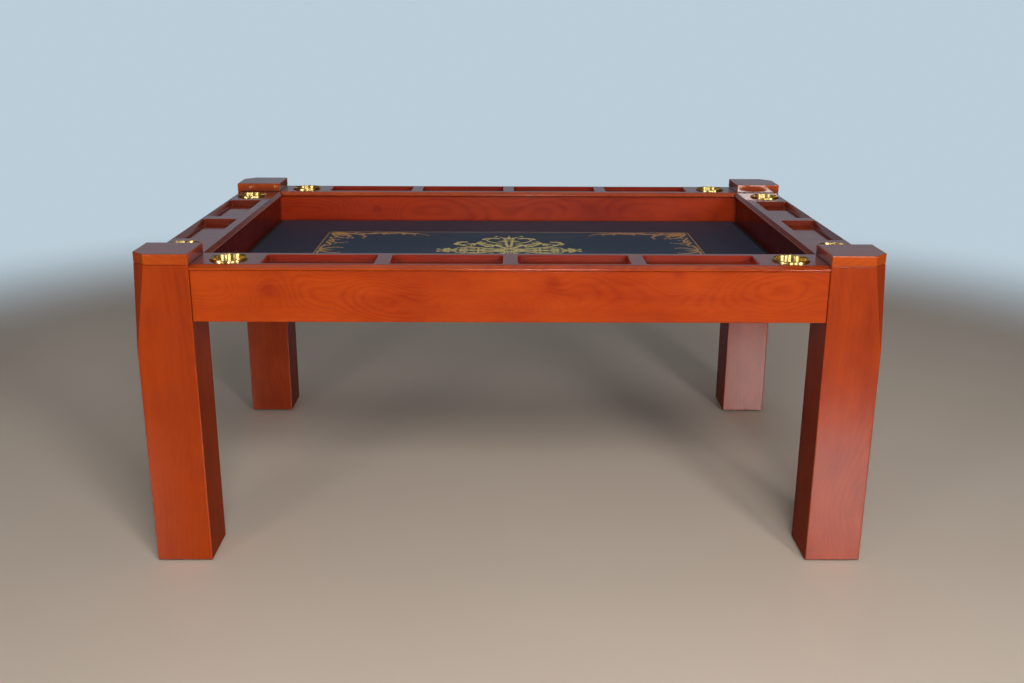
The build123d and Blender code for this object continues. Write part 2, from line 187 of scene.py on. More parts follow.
# Noise scales, per metre along the grain, across it and into the wood.
WANDER = (1.5, 0.0, 0.0)
WOBBLE = (8.0, 24.0, 24.0)
PATCHES = (2.5, 9.0, 9.0)
FIBRES = (22.0, 760.0, 760.0)
STREAKS = (1.6, 42.0, 42.0)
BLOTCHES = (7.0, 14.0, 14.0)
CLOUDS = (2.2, 3.5, 3.5)
FLECKS = (55.0, 1400.0, 1400.0)
SAWN_FIBRES = (14.0, 700.0, 700.0)
SAWN_CLOUDS = (3.0, 6.0, 6.0)
SAW_MARKS = (300.0, 25.0, 25.0)
PAINTED_GRAIN = (10.0, 260.0, 260.0)

PITH_SWAY = (0.22, 0.26)  # how far the pith wanders, across and into the wood
RING_WOBBLE = 7.0  # radians of ring phase
KNOT_BEND = 46.0  # radians of ring phase at the middle of a knot
KNOT_LENGTHEN = 0.8  # a knot is longer along the grain
KNOT_HEART = 9.0  # the power that narrows a knot to its dark heart

# Radius of the rounded edges, for the lacquer's normal and the painted edge highlight.
EDGE_ROUNDING = 1.8 * MM
EDGE_HIGHLIGHT_GAIN = (1.25, 1.9, 4.0)  # painted highlight along rounded edges: a gain on the light stain
NOSE_OUTER = 11 * MM  # the outer edge of a rail top, beyond its trays
NOSE_INNER = 12 * MM


def grain_space(g, node, grain, seed):
    """Position measured along the grain from a node's centre, and a shifted copy for noise."""
    low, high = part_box(node)
    local = g.vector("SUBTRACT", g.place(), tuple((low + high) / 2))
    turned = g.node("ShaderNodeMapping", Vector=local, Rotation=GRAIN_TURNS[grain])
    shifted = g.vector("ADD", turned, tuple(seed * step for step in SEED_SHIFT))
    return turned, shifted


def growth_rings(g, turned, shifted, spacing, pith, knots):
    """Rings round a wandering pith and bent round knots: their phase, and the knots' hearts."""
    along, across, depth = g.split(turned)
    wander = g.vector("MULTIPLY", shifted, WANDER)
    side = g.centred(g.noise(wander, 1.0), PITH_SWAY[0])
    wander = g.vector("ADD", wander, (11.3, 4.1, 7.7))
    below = g.centred(g.noise(wander, 1.0), PITH_SWAY[1])
    from_side = g.math("SUBTRACT", g.math("SUBTRACT", across, side), pith[0])
    from_below = g.math("SUBTRACT", g.math("SUBTRACT", depth, below), pith[1])
    reach = g.math("SQRT", g.squares(from_side, from_below))
    phase = g.math("MULTIPLY", reach, 2 * math.pi / spacing)
    wobble = g.stretched(shifted, WOBBLE, 3.0, 0.55)
    phase = g.math("ADD", phase, g.math("MULTIPLY", wobble, RING_WOBBLE))
    heart = 0.0
    for x, y, size in knots:
        dx = g.math("MULTIPLY", g.math("SUBTRACT", along, x), KNOT_LENGTHEN / size)
        dy = g.math("MULTIPLY", g.math("SUBTRACT", across, y), 1.0 / size)
        hill = g.math("EXPONENT", g.math("MULTIPLY", g.squares(dx, dy), -1.0))
        phase = g.math("ADD", phase, g.math("MULTIPLY", hill, KNOT_BEND))
        heart = g.math("ADD", heart, g.math("POWER", hill, KNOT_HEART))
    return phase, heart


def ring_lines(g, phase, sharpness):
    """The rings' dark lines, 0 to 1, from their phase."""
    wave = g.math("MULTIPLY", g.math("ADD", g.math("SINE", phase), 1.0), 0.5)
    return g.math("POWER", wave, sharpness)


def stain_depth(g, shifted, line, fibre, heart, lines):
    """How far the colour goes from the light stain to the dark one."""
    patch = g.ramp(g.stretched(shifted, PATCHES), 0.38, 0.66)
    strength = g.scaled(patch, 0.34 * lines, 0.10 * lines)
    streak = g.stretched(shifted, STREAKS, 3.0)
    blotch = g.stretched(shifted, BLOTCHES, 4.0, 0.62)
    cloud = g.stretched(shifted, CLOUDS)
    amount = g.math("MULTIPLY", line, strength)
    for grade, weight in ((streak, 0.75), (fibre, 0.5), (blotch, 1.3), (cloud, 1.1)):
        amount = g.math("ADD", amount, g.centred(grade, weight))
    amount = g.math("ADD", amount, g.math("MULTIPLY", heart, 0.5))
    return g.math("ADD", amount, 0.26, clamp=True)


def shaded_tray_walls(g, node, grain, turned, amount, colour):
    """A rail top's colour, with painted shade: a darker colour in its trays, away from its outer
    edges.
    """
    low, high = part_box(node)
    half_width = min(high.x - low.x, high.y - low.y) / 2
    off_middle = g.math("ABSOLUTE", g.split(turned)[1])
    nose = g.ramp(off_middle, half_width - NOSE_INNER, half_width - NOSE_OUTER)
    light, dark = TRAY_STAIN_AND_SHADE[grain]
    return g.mix(nose, g.mix(amount, rgb(*light), rgb(*dark)), colour)


def wood(
    name, node, grain, stain, seed,
    spacing=6.0, pith=(0.0, -0.05), knots=(), lines=1.0, top=None, coat=1.0,
):
    """Stained, lacquered wood: growth rings, fibres, blotches, a painted highlight along its rounded
    edges and painted shade in its corners.

    spacing is the rings' pitch in mm, and pith their middle, across the face and into it; lines
    says how strongly they show; top is the darker colour, painted shade, of faces that look up; coat
    is the lacquer.
    """
    light, dark = stain
    g = Graph(name)
    turned, shifted = grain_space(g, node, grain, seed)
    phase, heart = growth_rings(g, turned, shifted, spacing * MM, pith, knots)
    line = ring_lines(g, phase, 2.2)
    fibre = g.stretched(shifted, FIBRES, 2.0, 0.7)
    amount = stain_depth(g, shifted, line, fibre, heart, lines)
    colour = g.mix(amount, rgb(*light), rgb(*dark))
    # Painted shade: a darker colour in the trays' hollows.
    if node.startswith("rail_top"):
        colour = shaded_tray_walls(g, node, grain, turned, amount, colour)
    # Painted shade: faces that look up turn to a darker colour.
    if top:
        facing_up = g.ramp(g.split(g.normal())[2], *UP_FACE_SHADE_TILT[grain])
        colour = g.mix(facing_up, colour, g.mix(amount, rgb(*top[0]), rgb(*top[1])))
    fleck = g.ramp(g.stretched(shifted, FLECKS, 1.0), 0.6, 0.76)
    colour = g.mix(g.math("MULTIPLY", fleck, 0.3), colour, toned(dark, 0.5))

    # Rounded edges: the Bevel normal rounds the lacquer, and its mask paints a highlight on the stain
    # along them.
    soft_edge = g.node("ShaderNodeBevel", props={"samples": 4}, Radius=EDGE_ROUNDING)
    bend = g.vector("DOT_PRODUCT", soft_edge, g.normal(), output=1)
    painted_edge_highlight = g.ramp(g.math("SUBTRACT", 1.0, bend), 0.01, 0.22)
    edge_highlight_colour = rgb(*(channel * gain for channel, gain in zip(light, EDGE_HIGHLIGHT_GAIN)))
    colour = g.mix(g.math("MULTIPLY", painted_edge_highlight, 0.6), colour, edge_highlight_colour)
    # Painted shade: ambient occlusion darkens corners, joints and the trays' hollows towards the dark
    # stain, further and more strongly on rail tops and caps.
    reach, depth = (24 * MM, 1.7) if top else (8 * MM, 0.8)
    corner = g.node("ShaderNodeAmbientOcclusion", "AO", {"samples": 4}, Distance=reach)
    painted_corner_shade = g.math("MULTIPLY", g.math("SUBTRACT", 1.0, corner), depth, clamp=True)
    colour = g.mix(painted_corner_shade, colour, toned(dark, 0.22))

    smudge = g.noise(g.place(), 14.0, 3.0, 0.6)
    relief = g.math("ADD", fibre, g.math("MULTIPLY", line, -0.5))
    peel = g.noise(g.place(), 380.0, 1.0)
    swell = g.noise(g.place(), 24.0, 1.0)
    lacquer = g.math("ADD", g.math("MULTIPLY", peel, 0.2), g.math("MULTIPLY", swell, 1.4))
    g.shade(
        Base_Color=colour,
        Roughness=g.scaled(smudge, 0.2, 0.3),
        Normal=g.bump(relief, 0.07 * MM, 0.35),
        Specular_IOR_Level=0.12,
        Coat_Weight=coat,
        Coat_IOR=1.5,
        Coat_Roughness=g.scaled(smudge, 0.1, 0.05),
        Coat_Normal=g.bump(lacquer, 0.16 * MM, 0.5, normal=soft_edge),
    )
    return g.material


def plain_wood(name, node, grain, seed):
    """Unlacquered inner wood with a sawn surface."""
    g = Graph(name)
    turned, shifted = grain_space(g, node, grain, seed)
    phase, _ = growth_rings(g, turned, shifted, 4.5 * MM, (0.0, -0.04), ())
    line = ring_lines(g, phase, 2.0)
    fibre = g.stretched(shifted, SAWN_FIBRES)
    cloud = g.stretched(shifted, SAWN_CLOUDS, 3.0)
    amount = g.math("ADD", g.math("MULTIPLY", line, 0.35), g.math("MULTIPLY", fibre, 0.3))
    amount = g.math("ADD", amount, g.math("MULTIPLY", cloud, 0.3), clamp=True)
    saw = g.stretched(shifted, SAW_MARKS, 1.0)
    g.shade(
        Base_Color=g.mix(amount, rgb(0.56, 0.40, 0.23), rgb(0.34, 0.22, 0.11)),
        Roughness=g.scaled(fibre, 0.2, 0.55),
        Normal=g.bump(g.math("ADD", fibre, saw), 0.2 * MM, 0.5),
    )
    return g.material


# ------------------------------------------------------------ other materials
def painted_board():
    """Plywood with thin black paint, its veneer grain still showing."""
    g = Graph("black_board")
    grain = g.stretched(g.place(), PAINTED_GRAIN, 3.0)
    wear = g.ramp(g.noise(g.place(), 9.0, 4.0, 0.65), 0.55, 0.8)
    paint = g.mix(grain, rgb(0.012, 0.011, 0.013), rgb(0.028, 0.025, 0.028))
    g.shade(
        Base_Color=g.mix(g.math("MULTIPLY", wear, 0.25), paint, rgb(0.07, 0.05, 0.035)),
        Roughness=g.scaled(grain, 0.25, 0.55),
        Normal=g.bump(grain, 0.15 * MM, 0.6),
    )
    return g.material


def brass():
    """Spun brass: fine rings turned round the cup stretch its highlights up and down."""
    g = Graph("polished_brass")
    spun = g.stretched(g.place(), (30.0, 30.0, 2600.0))
    smudge = g.noise(g.place(), 28.0)
    tint = g.mix(g.ramp(smudge, 0.35, 0.75), rgb(0.93, 0.70, 0.28), rgb(0.78, 0.52, 0.17))
    rough = g.scaled(g.ramp(smudge, 0.4, 0.8), 0.06, 0.36)
    round_cup = g.node("ShaderNodeTangent", props={"direction_type": "RADIAL", "axis": "Z"})
    g.shade(
        Base_Color=tint,
        Roughness=g.math("ADD", rough, g.math("MULTIPLY", spun, 0.05)),
        Normal=g.bump(spun, 0.004 * MM, 0.3),
        Tangent=round_cup,
        Metallic=1.0,
        Anisotropic=1.0,
        Anisotropic_Rotation=0.25,
    )
    return g.material


def steel(name):
    """Zinc-plated steel of screws, bolts and inserts."""
    g = Graph(name)
    grain = g.noise(g.place(), 900.0)
    spangle = g.noise(g.place(), 120.0)
    g.shade(
        Base_Color=g.mix(spangle, rgb(0.50, 0.51, 0.52), rgb(0.68, 0.67, 0.62)),
        Roughness=g.scaled(grain, 0.2, 0.25),
        Normal=g.bump(grain, 0.03 * MM, 0.4),
        Metallic=1.0,
    )
    return g.material


def moulded(name, tint, roughness):
    """Moulded plastic or rubber with a fine sandy texture."""
    g = Graph(name)
    sand = g.noise(g.place(), 1300.0)
    cloud = g.noise(g.place(), 40.0)
    g.shade(
        Base_Color=g.mix(g.ramp(cloud, 0.4, 0.8), rgb(*tint), toned(tint, 1.8)),
        Roughness=g.scaled(sand, 0.15, roughness),
        Normal=g.bump(sand, 0.05 * MM, 0.5),
    )
    return g.material


def weave_bands(g, direction):
    """Threads of the mat's cloth in one direction."""
    return g.node(
        "ShaderNodeTexWave", 1, {"bands_direction": direction}, Vector=g.place(), Scale=620.0,
    )


def mat_face_cloth(border_x, border_y, corner):
    """Printed smooth cloth: a charcoal band outside the border and a blue-green field inside."""
    g = Graph("mat_cloth_print")
    x, y, _ = g.split(g.place())
    over_x = g.math("MAXIMUM", g.math("SUBTRACT", g.math("ABSOLUTE", x), border_x - corner), 0.0)
    over_y = g.math("MAXIMUM", g.math("SUBTRACT", g.math("ABSOLUTE", y), border_y - corner), 0.0)
    reach = g.math("SQRT", g.squares(over_x, over_y))
    outside = g.ramp(reach, corner - 0.4 * MM, corner + 0.4 * MM)
    cloud = g.noise(g.place(), 5.0, 4.0, 0.6)
    mottle = g.noise(g.place(), 60.0, 3.0, 0.6)
    shade = g.math("ADD", g.math("MULTIPLY", cloud, 0.6), g.math("MULTIPLY", mottle, 0.4))
    band = g.mix(shade, rgb(0.032, 0.038, 0.070), rgb(0.052, 0.060, 0.106))
    field = g.mix(shade, rgb(0.026, 0.062, 0.110), rgb(0.050, 0.104, 0.165))
    weave = g.math("MAXIMUM", weave_bands(g, "X"), weave_bands(g, "Y"))
    printed = g.mix(outside, field, band)
    g.shade(
        Base_Color=g.mix(g.math("MULTIPLY", weave, 0.2), printed, rgb(0.05, 0.05, 0.06)),
        Roughness=g.scaled(mottle, 0.15, 0.5),
        Normal=g.bump(weave, 0.12 * MM, 0.5),
        Specular_IOR_Level=0.32,
    )
    return g.material


def ink(name, bright, deep):
    """Metallic-looking printed ink with a fine speckle."""
    g = Graph(name)
    cloud = g.noise(g.place(), 35.0, 3.0, 0.6)
    speck = g.noise(g.place(), 700.0)
    speckle = g.math("MULTIPLY", speck, 0.3)
    amount = g.math("ADD", g.math("MULTIPLY", cloud, 0.8), speckle, clamp=True)
    g.shade(
        Base_Color=g.mix(amount, rgb(*bright), rgb(*deep)),
        Roughness=g.scaled(speck, 0.2, 0.42),
        Normal=g.bump(speck, 0.05 * MM, 0.5),
        Metallic=0.25,
    )
    return g.material


def thread():
    """Dark twisted stitching thread."""
    g = Graph("edge_thread")
    twist = {"bands_direction": "DIAGONAL"}
    ply = g.node("ShaderNodeTexWave", props=twist, Vector=g.place(), Scale=900.0)
    fuzz = g.noise(g.place(), 500.0)
    g.shade(
        Base_Color=g.mix(fuzz, rgb(0.016, 0.016, 0.020), rgb(0.045, 0.044, 0.052)),
        Roughness=g.scaled(fuzz, 0.2, 0.6),
        Normal=g.bump(ply, 0.1 * MM, 0.5),
        Specular_IOR_Level=0.1,
    )
    return g.material


# ------------------------------------------------------- paint the CAD pieces
# Stain colours, light and dark, for each kind of face; the trays', up-facing faces' and side liners'
# colours are darkened as painted shade.
APRON_STAIN = ((0.52, 0.062, 0.002), (0.32, 0.022, 0.001))
RAIL_STAIN = ((0.52, 0.070, 0.003), (0.34, 0.030, 0.001))
# Painted shade in the trays: darker than the rail tops, darkest in the side rails' trays.
TRAY_STAIN_AND_SHADE = {
    "x_flat": ((0.36, 0.022, 0.001), (0.20, 0.009, 0.001)),
    "y_flat": ((0.17, 0.009, 0.001), (0.10, 0.004, 0.001)),
}
# Painted shade: faces that look up, darker than the sides.
UP_FACE_STAIN_AND_SHADE = ((0.26, 0.034, 0.006), (0.15, 0.014, 0.003))
POST_STAIN = ((0.44, 0.049, 0.001), (0.25, 0.018, 0.001))
CAP_STAIN = ((0.54, 0.080, 0.004), (0.36, 0.036, 0.002))
LINER_STAIN = ((0.44, 0.034, 0.001), (0.26, 0.012, 0.001))
# Painted shade: the side liners, which face sideways, darker than the front and back ones.
SIDE_LINER_STAIN_AND_SHADE = ((0.17, 0.010, 0.001), (0.10, 0.005, 0.001))
# How far up a face looks, from the start to the end of its change to the painted shade of faces that
# look up.
UP_FACE_SHADE_TILT = {"x_flat": (0.82, 0.99), "y_flat": (0.2, 0.7)}

SIDES = {"front": "x", "back": "x", "left": "y", "right": "y"}
CORNERS = ("front_left", "front_right", "back_left", "back_right")
# Knots of the front apron: along it, up it, and their size, in metres.
FRONT_KNOTS = ((-0.558, 0.016, 0.050), (0.098, 0.030, 0.052), (0.386, 0.056, 0.034))
LONG_BOARD = 1.4
SHORT_BOARD = 0.9
BOARD_HEIGHT = 0.12


def paint(node, material):
    """Give a CAD node one material."""
    slots = NODES[node].data.materials
    slots.clear()
    slots.append(material)


def some_knots(seed, count, length):
    """Knots scattered over a board's face."""
    dice = random.Random(seed)
    knots = []
    for _ in range(count):
        along = dice.uniform(-0.45, 0.45) * length
        up = dice.uniform(-0.4, 0.4) * BOARD_HEIGHT
        knots.append((along, up, dice.uniform(0.03, 0.05)))
    return knots


def paint_rails():
    """Materials for the boards of the four rails."""
    for seed, (side, axis) in enumerate(SIDES.items()):
        length = LONG_BOARD if axis == "x" else SHORT_BOARD
        knots = FRONT_KNOTS if side == "front" else some_knots(seed, 3, length)
        upright = f"{axis}_upright"
        # Painted shade: the side liners get a darker colour than the front and back ones.
        liner_stain_and_shade = LINER_STAIN if axis == "x" else SIDE_LINER_STAIN_AND_SHADE
        apron = wood(
            f"apron_wood_{side}", f"apron_{side}", upright, APRON_STAIN, seed + 1,
            spacing=5.0, knots=knots, lines=0.75, coat=0.5,
        )
        liner = wood(
            f"liner_wood_{side}", f"liner_{side}", upright, liner_stain_and_shade, seed + 11,
            spacing=9.0, knots=some_knots(seed + 20, 1, length), coat=0.3,
        )
        top = wood(
            f"rail_wood_{side}", f"rail_top_{side}", f"{axis}_flat", RAIL_STAIN, seed + 21,
            spacing=7.0, top=UP_FACE_STAIN_AND_SHADE,
        )
        ledge = plain_wood(f"ledge_wood_{side}", f"ledge_{side}", upright, seed + 31)
        paint(f"apron_{side}", apron)
        paint(f"liner_{side}", liner)
        paint(f"rail_top_{side}", top)
        paint(f"ledge_{side}", ledge)


def paint_posts():
    """Materials for the posts, their caps and feet."""
    nylon = moulded("foot_nylon", (0.014, 0.014, 0.015), 0.5)
    stem = steel("foot_steel")
    for seed, corner in enumerate(CORNERS):
        post = wood(
            f"post_wood_{corner}", f"post_{corner}", "z_front", POST_STAIN, seed + 41,
            spacing=13.0, pith=(0.10, -0.12), lines=0.5,
        )
        cap = wood(
            f"cap_wood_{corner}", f"post_cap_{corner}", "x_flat", CAP_STAIN, seed + 51,
            spacing=8.0, pith=(0.02, -0.06), lines=0.6, top=UP_FACE_STAIN_AND_SHADE,
        )
        paint(f"post_{corner}", post)
        paint(f"post_cap_{corner}", cap)
        paint(f"foot_pad_{corner}", nylon)
        paint(f"foot_stem_{corner}", stem)


def paint_inside():
    """Materials for blocks, bearers, fasteners, the play board, the mat's rubber and the cups."""
    for seed, name in enumerate(("left", "middle", "right")):
        node = f"bearer_{name}"
        paint(node, plain_wood(f"bearer_wood_{name}", node, "y_flat", seed + 61))
    blocks = ("end_blocks_long_rails", "end_blocks_short_rails", "rail_spacer_blocks")
    for seed, node in enumerate(blocks):
        paint(node, plain_wood(f"{node}_wood", node, "x_upright", seed + 71))
    for seed, node in enumerate(("rail_dowels", "cap_dowels")):
        paint(node, plain_wood(f"{node}_wood", node, "z_front", seed + 81))
    zinc = steel("zinc_steel")
    for node in NODES:
        if node.endswith(("inserts", "bolts", "washers", "screws")):
            paint(node, zinc)
    paint("play_board", painted_board())
    paint("play_mat_base", moulded("mat_rubber", (0.016, 0.016, 0.018), 0.75))
    cup = brass()
    for node in NODES:
        if node.startswith("cup_"):
            paint(node, cup)


# ------------------------------------------------------------------ mesh help
def make_piece(name, verts, faces, material, body, smooth=False):
    """A mesh as a piece of a body, in a slot."""
    mesh = bpy.data.meshes.new(name)
    mesh.from_pydata(verts, [], faces)
    mesh.update()
    if smooth:
        mesh.polygons.foreach_set("use_smooth", [True] * len(mesh.polygons))
    mesh.materials.append(material)
    piece = bpy.data.objects.new(name, mesh)
    bpy.context.scene.collection.objects.link(piece)
    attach(piece, body)
    return piece


# ------------------------------------------------------------------ mat cloth
mat_low, mat_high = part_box("play_mat_cloth")
MAT_TOP = mat_high.z
MAT_HALF_X = mat_high.x
MAT_HALF_Y = mat_high.y
CLOTH_CELL = 12 * MM
CLOTH_LIFT = 0.25 * MM
CLOTH_CORNER = 1.5 * MM  # how far each corner is trimmed in
EDGE_FADE = 20 * MM  # the cloth's unevenness fades out over this, towards its edges
BORDER_X = 0.546
BORDER_Y = 0.263
BORDER_CORNER = 0.012
BORDER_LINE = 2.6 * MM


def cloth_height(x, y):
    """Slight unevenness of the cloth, never above the mat's own top."""
    swell = math.sin(5.1 * x + 1.3) * math.cos(6.3 * y + 0.4)
    swell += 0.5 * math.sin(13.0 * x - 9.0 * y)
    edge = min(MAT_HALF_X - abs(x), MAT_HALF_Y - abs(y))
    fade = min(1.0, max(0.0, edge / EDGE_FADE))
    return -CLOTH_LIFT * (1.0 - fade) - CLOTH_LIFT * 0.35 * (1.5 + swell) * fade


def mat_cloth():
    """The mat's cloth face: one closed sheet that follows the rubber under it."""
    nx = round(2 * MAT_HALF_X / CLOTH_CELL)
    ny = round(2 * MAT_HALF_Y / CLOTH_CELL)
    verts = []
    for top in (True, False):
        for j in range(ny + 1):
            for i in range(nx + 1):
                x = MAT_HALF_X * (2 * i / nx - 1)
                y = MAT_HALF_Y * (2 * j / ny - 1)
                if abs(x) > MAT_HALF_X - MM and abs(y) > MAT_HALF_Y - MM:
                    x -= math.copysign(CLOTH_CORNER, x)
                    y -= math.copysign(CLOTH_CORNER, y)
                verts.append((x, y, MAT_TOP + cloth_height(x, y) if top else mat_low.z))
    row = nx + 1
    layer = row * (ny + 1)
    faces = []
    for j in range(ny):
        for i in range(nx):
            a = j * row + i
            faces.append((a, a + 1, a + row + 1, a + row))
            b = layer + a
            faces.append((b, b + row, b + row + 1, b + 1))
    rim = list(range(row)) + [j * row + nx for j in range(1, ny + 1)]
    rim += [ny * row + i for i in range(nx - 1, -1, -1)]
    rim += [j * row for j in range(ny - 1, 0, -1)]
    for a, b in zip(rim, rim[1:] + rim[:1]):
        faces.append((b, a, layer + a, layer + b))
    material = mat_face_cloth(BORDER_X, BORDER_Y, BORDER_CORNER)
    cloth = make_piece("mat_cloth_face", verts, faces, material, MAT_BODY)
    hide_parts("play_mat_cloth")
    return cloth


# ---------------------------------------------------------------- scrollwork
INK_RISE = 0.12 * MM
INK_SINK = 0.30 * MM
MEDALLION_X = 0.20
MEDALLION_Y = 0.19
VINE_STEPS = 26
LEAF_STEPS = 9
RING_SIDES = 14


class Inlay:
    """Flat printed strokes gathered into one mesh just above the cloth."""

    def __init__(self):
        self.verts = []
        self.faces = []

    def stroke(self, points, widths, closed=False):
        """A closed thin ribbon along the points, as wide as the widths say."""
        count = len(points)
        start = len(self.verts)
        for i, (x, y) in enumerate(points):
            ahead = points[(i + 1) % count] if closed or i + 1 < count else points[i]
            behind = points[i - 1] if closed or i > 0 else points[i]
            dx, dy = ahead[0] - behind[0], ahead[1] - behind[1]
            size = math.hypot(dx, dy) or 1.0
            nx, ny = -dy / size * widths[i] / 2, dx / size * widths[i] / 2
            top = MAT_TOP + cloth_height(x, y) + INK_RISE
            low = top - INK_SINK
            self.verts += [
                (x + nx, y + ny, top), (x - nx, y - ny, top),
                (x - nx, y - ny, low), (x + nx, y + ny, low),
            ]
        links = count if closed else count - 1
        for i in range(links):
            a = start + 4 * i
            b = start + 4 * ((i + 1) % count)
            for k in range(4):
                m = (k + 1) % 4
                self.faces.append((a + k, b + k, b + m, a + m))
        if not closed:
            last = start + 4 * (count - 1)
            self.faces.append((start, start + 1, start + 2, start + 3))
            self.faces.append((last + 3, last + 2, last + 1, last))


def vine(start, heading, length, bend, curl):
    """Points and headings along a line that bends ever more, so that it ends in a scroll."""
    x, y = start
    step = length / VINE_STEPS
    points = [(x, y)]
    headings = [heading]
    for i in range(VINE_STEPS):
        t = i / VINE_STEPS
        heading += (bend + curl * t ** 3) / VINE_STEPS
        x += math.cos(heading) * step
        y += math.sin(heading) * step
        points.append((x, y))
        headings.append(heading)
    return points, headings


def leaf(start, heading, length, turn, width):
    """A pointed leaf: its points and widths."""
    x, y = start
    step = length / LEAF_STEPS
    points = [(x, y)]
    for _ in range(LEAF_STEPS):
        heading += turn / LEAF_STEPS
        x += math.cos(heading) * step
        y += math.sin(heading) * step
        points.append((x, y))
    widths = []
    for i in range(LEAF_STEPS + 1):
        belly = math.sin(math.pi * (i / LEAF_STEPS) ** 0.7)
        widths.append(width * (0.12 + 1.3 * belly))
    return points, widths


def scroll(start, heading, length, bend, curl, width, leaves, leaf_size):
    """A leafy scroll: a tapering vine, leaves along both its sides, and a ring at its tip."""
    points, headings = vine(start, heading, length, bend, curl)
    width *= 1.3
    leaves = round(1.5 * leaves)
    widths = [width * (1.0 - 0.7 * i / VINE_STEPS) for i in range(VINE_STEPS + 1)]
    strokes = [(points, widths)]
    hand = -1 if bend + curl > 0 else 1
    for n in range(leaves):
        t = (n + 0.6) / (leaves + 0.4)
        i = int(t * VINE_STEPS * 0.92)
        size = leaf_size * (1.0 - 0.5 * t)
        here, along = points[i], headings[i]
        strokes.append(leaf(here, along + hand * 0.75, size, -hand * 0.9, width))
        strokes.append(leaf(here, along - hand * 0.7, size * 0.75, hand * 0.9, width * 0.8))
    strokes.append(ring(points[-1], width * 0.75, width * 0.8))
    return strokes


def ring(centre, radius, width, sides=RING_SIDES):
    """A ring's points, with the first again at the end, and its widths."""
    points = []
    for i in range(sides + 1):
        angle = 2 * math.pi * i / sides
        points.append((centre[0] + radius * math.cos(angle), centre[1] + radius * math.sin(angle)))
    return points, [width] * (sides + 1)


def corner_strokes():
    """A corner spray, drawn with the border's corner at (0, 0) and the field towards +x, +y."""
    upward = math.pi / 2
    strokes = []
    strokes += scroll((12 * MM, 12 * MM), 0.10, 150 * MM, 0.75, 4.6, 3.4 * MM, 8, 20 * MM)
    strokes += scroll((12 * MM, 12 * MM), upward - 0.10, 120 * MM, -0.75, -4.6, 3.4 * MM, 7, 18 * MM)
    strokes += scroll((20 * MM, 20 * MM), 0.55, 84 * MM, 0.2, 5.6, 3.0 * MM, 6, 16 * MM)
    strokes += scroll((20 * MM, 20 * MM), upward - 0.55, 72 * MM, -0.2, -5.6, 3.0 * MM, 5, 15 * MM)
    strokes += scroll((96 * MM, 34 * MM), -0.5, 110 * MM, 1.1, -5.2, 2.6 * MM, 7, 15 * MM)
    strokes += scroll((132 * MM, 14 * MM), 0.25, 92 * MM, -0.9, 4.4, 2.4 * MM, 6, 13 * MM)
    strokes += scroll((205 * MM, 16 * MM), 0.02, 112 * MM, 0.4, 3.4, 2.4 * MM, 8, 10 * MM)
    strokes += scroll((214 * MM, 12 * MM), 0.05, 70 * MM, 0.9, 3.8, 2.0 * MM, 5, 10 * MM)
    strokes += scroll((16 * MM, 118 * MM), upward - 0.15, 84 * MM, -1.2, -4.4, 2.6 * MM, 6, 13 * MM)
    strokes += scroll((12 * MM, 150 * MM), upward - 0.7, 70 * MM, 0.9, 3.6, 2.2 * MM, 5, 11 * MM)
    for n in range(7):
        hand = 1 if n % 2 else -1
        start = ((40 + 30 * n) * MM, (18 - hand * 4) * MM)
        heading = 0.3 - hand * 0.2
        strokes += scroll(start, heading, 54 * MM, hand * 0.6, hand * 5.2, 2.4 * MM, 4, 11 * MM)
    for n in range(4):
        hand = -1 if n % 2 else 1
        start = ((18 + hand * 4) * MM, (48 + 32 * n) * MM)
        heading = upward - 0.3 - hand * 0.2
        strokes += scroll(start, heading, 54 * MM, hand * 0.6, hand * 5.2, 2.4 * MM, 4, 11 * MM)
    boss = (26 * MM, 26 * MM)
    strokes.append(ring(boss, 7 * MM, 2.6 * MM))
    strokes.append(ring(boss, 3 * MM, 2.2 * MM))
    for k in range(7):
        angle = 0.12 + k * 0.22
        strokes.append(leaf(boss, angle, (34 + 10 * (k % 2)) * MM, 0.0, 3.4 * MM))
    return strokes


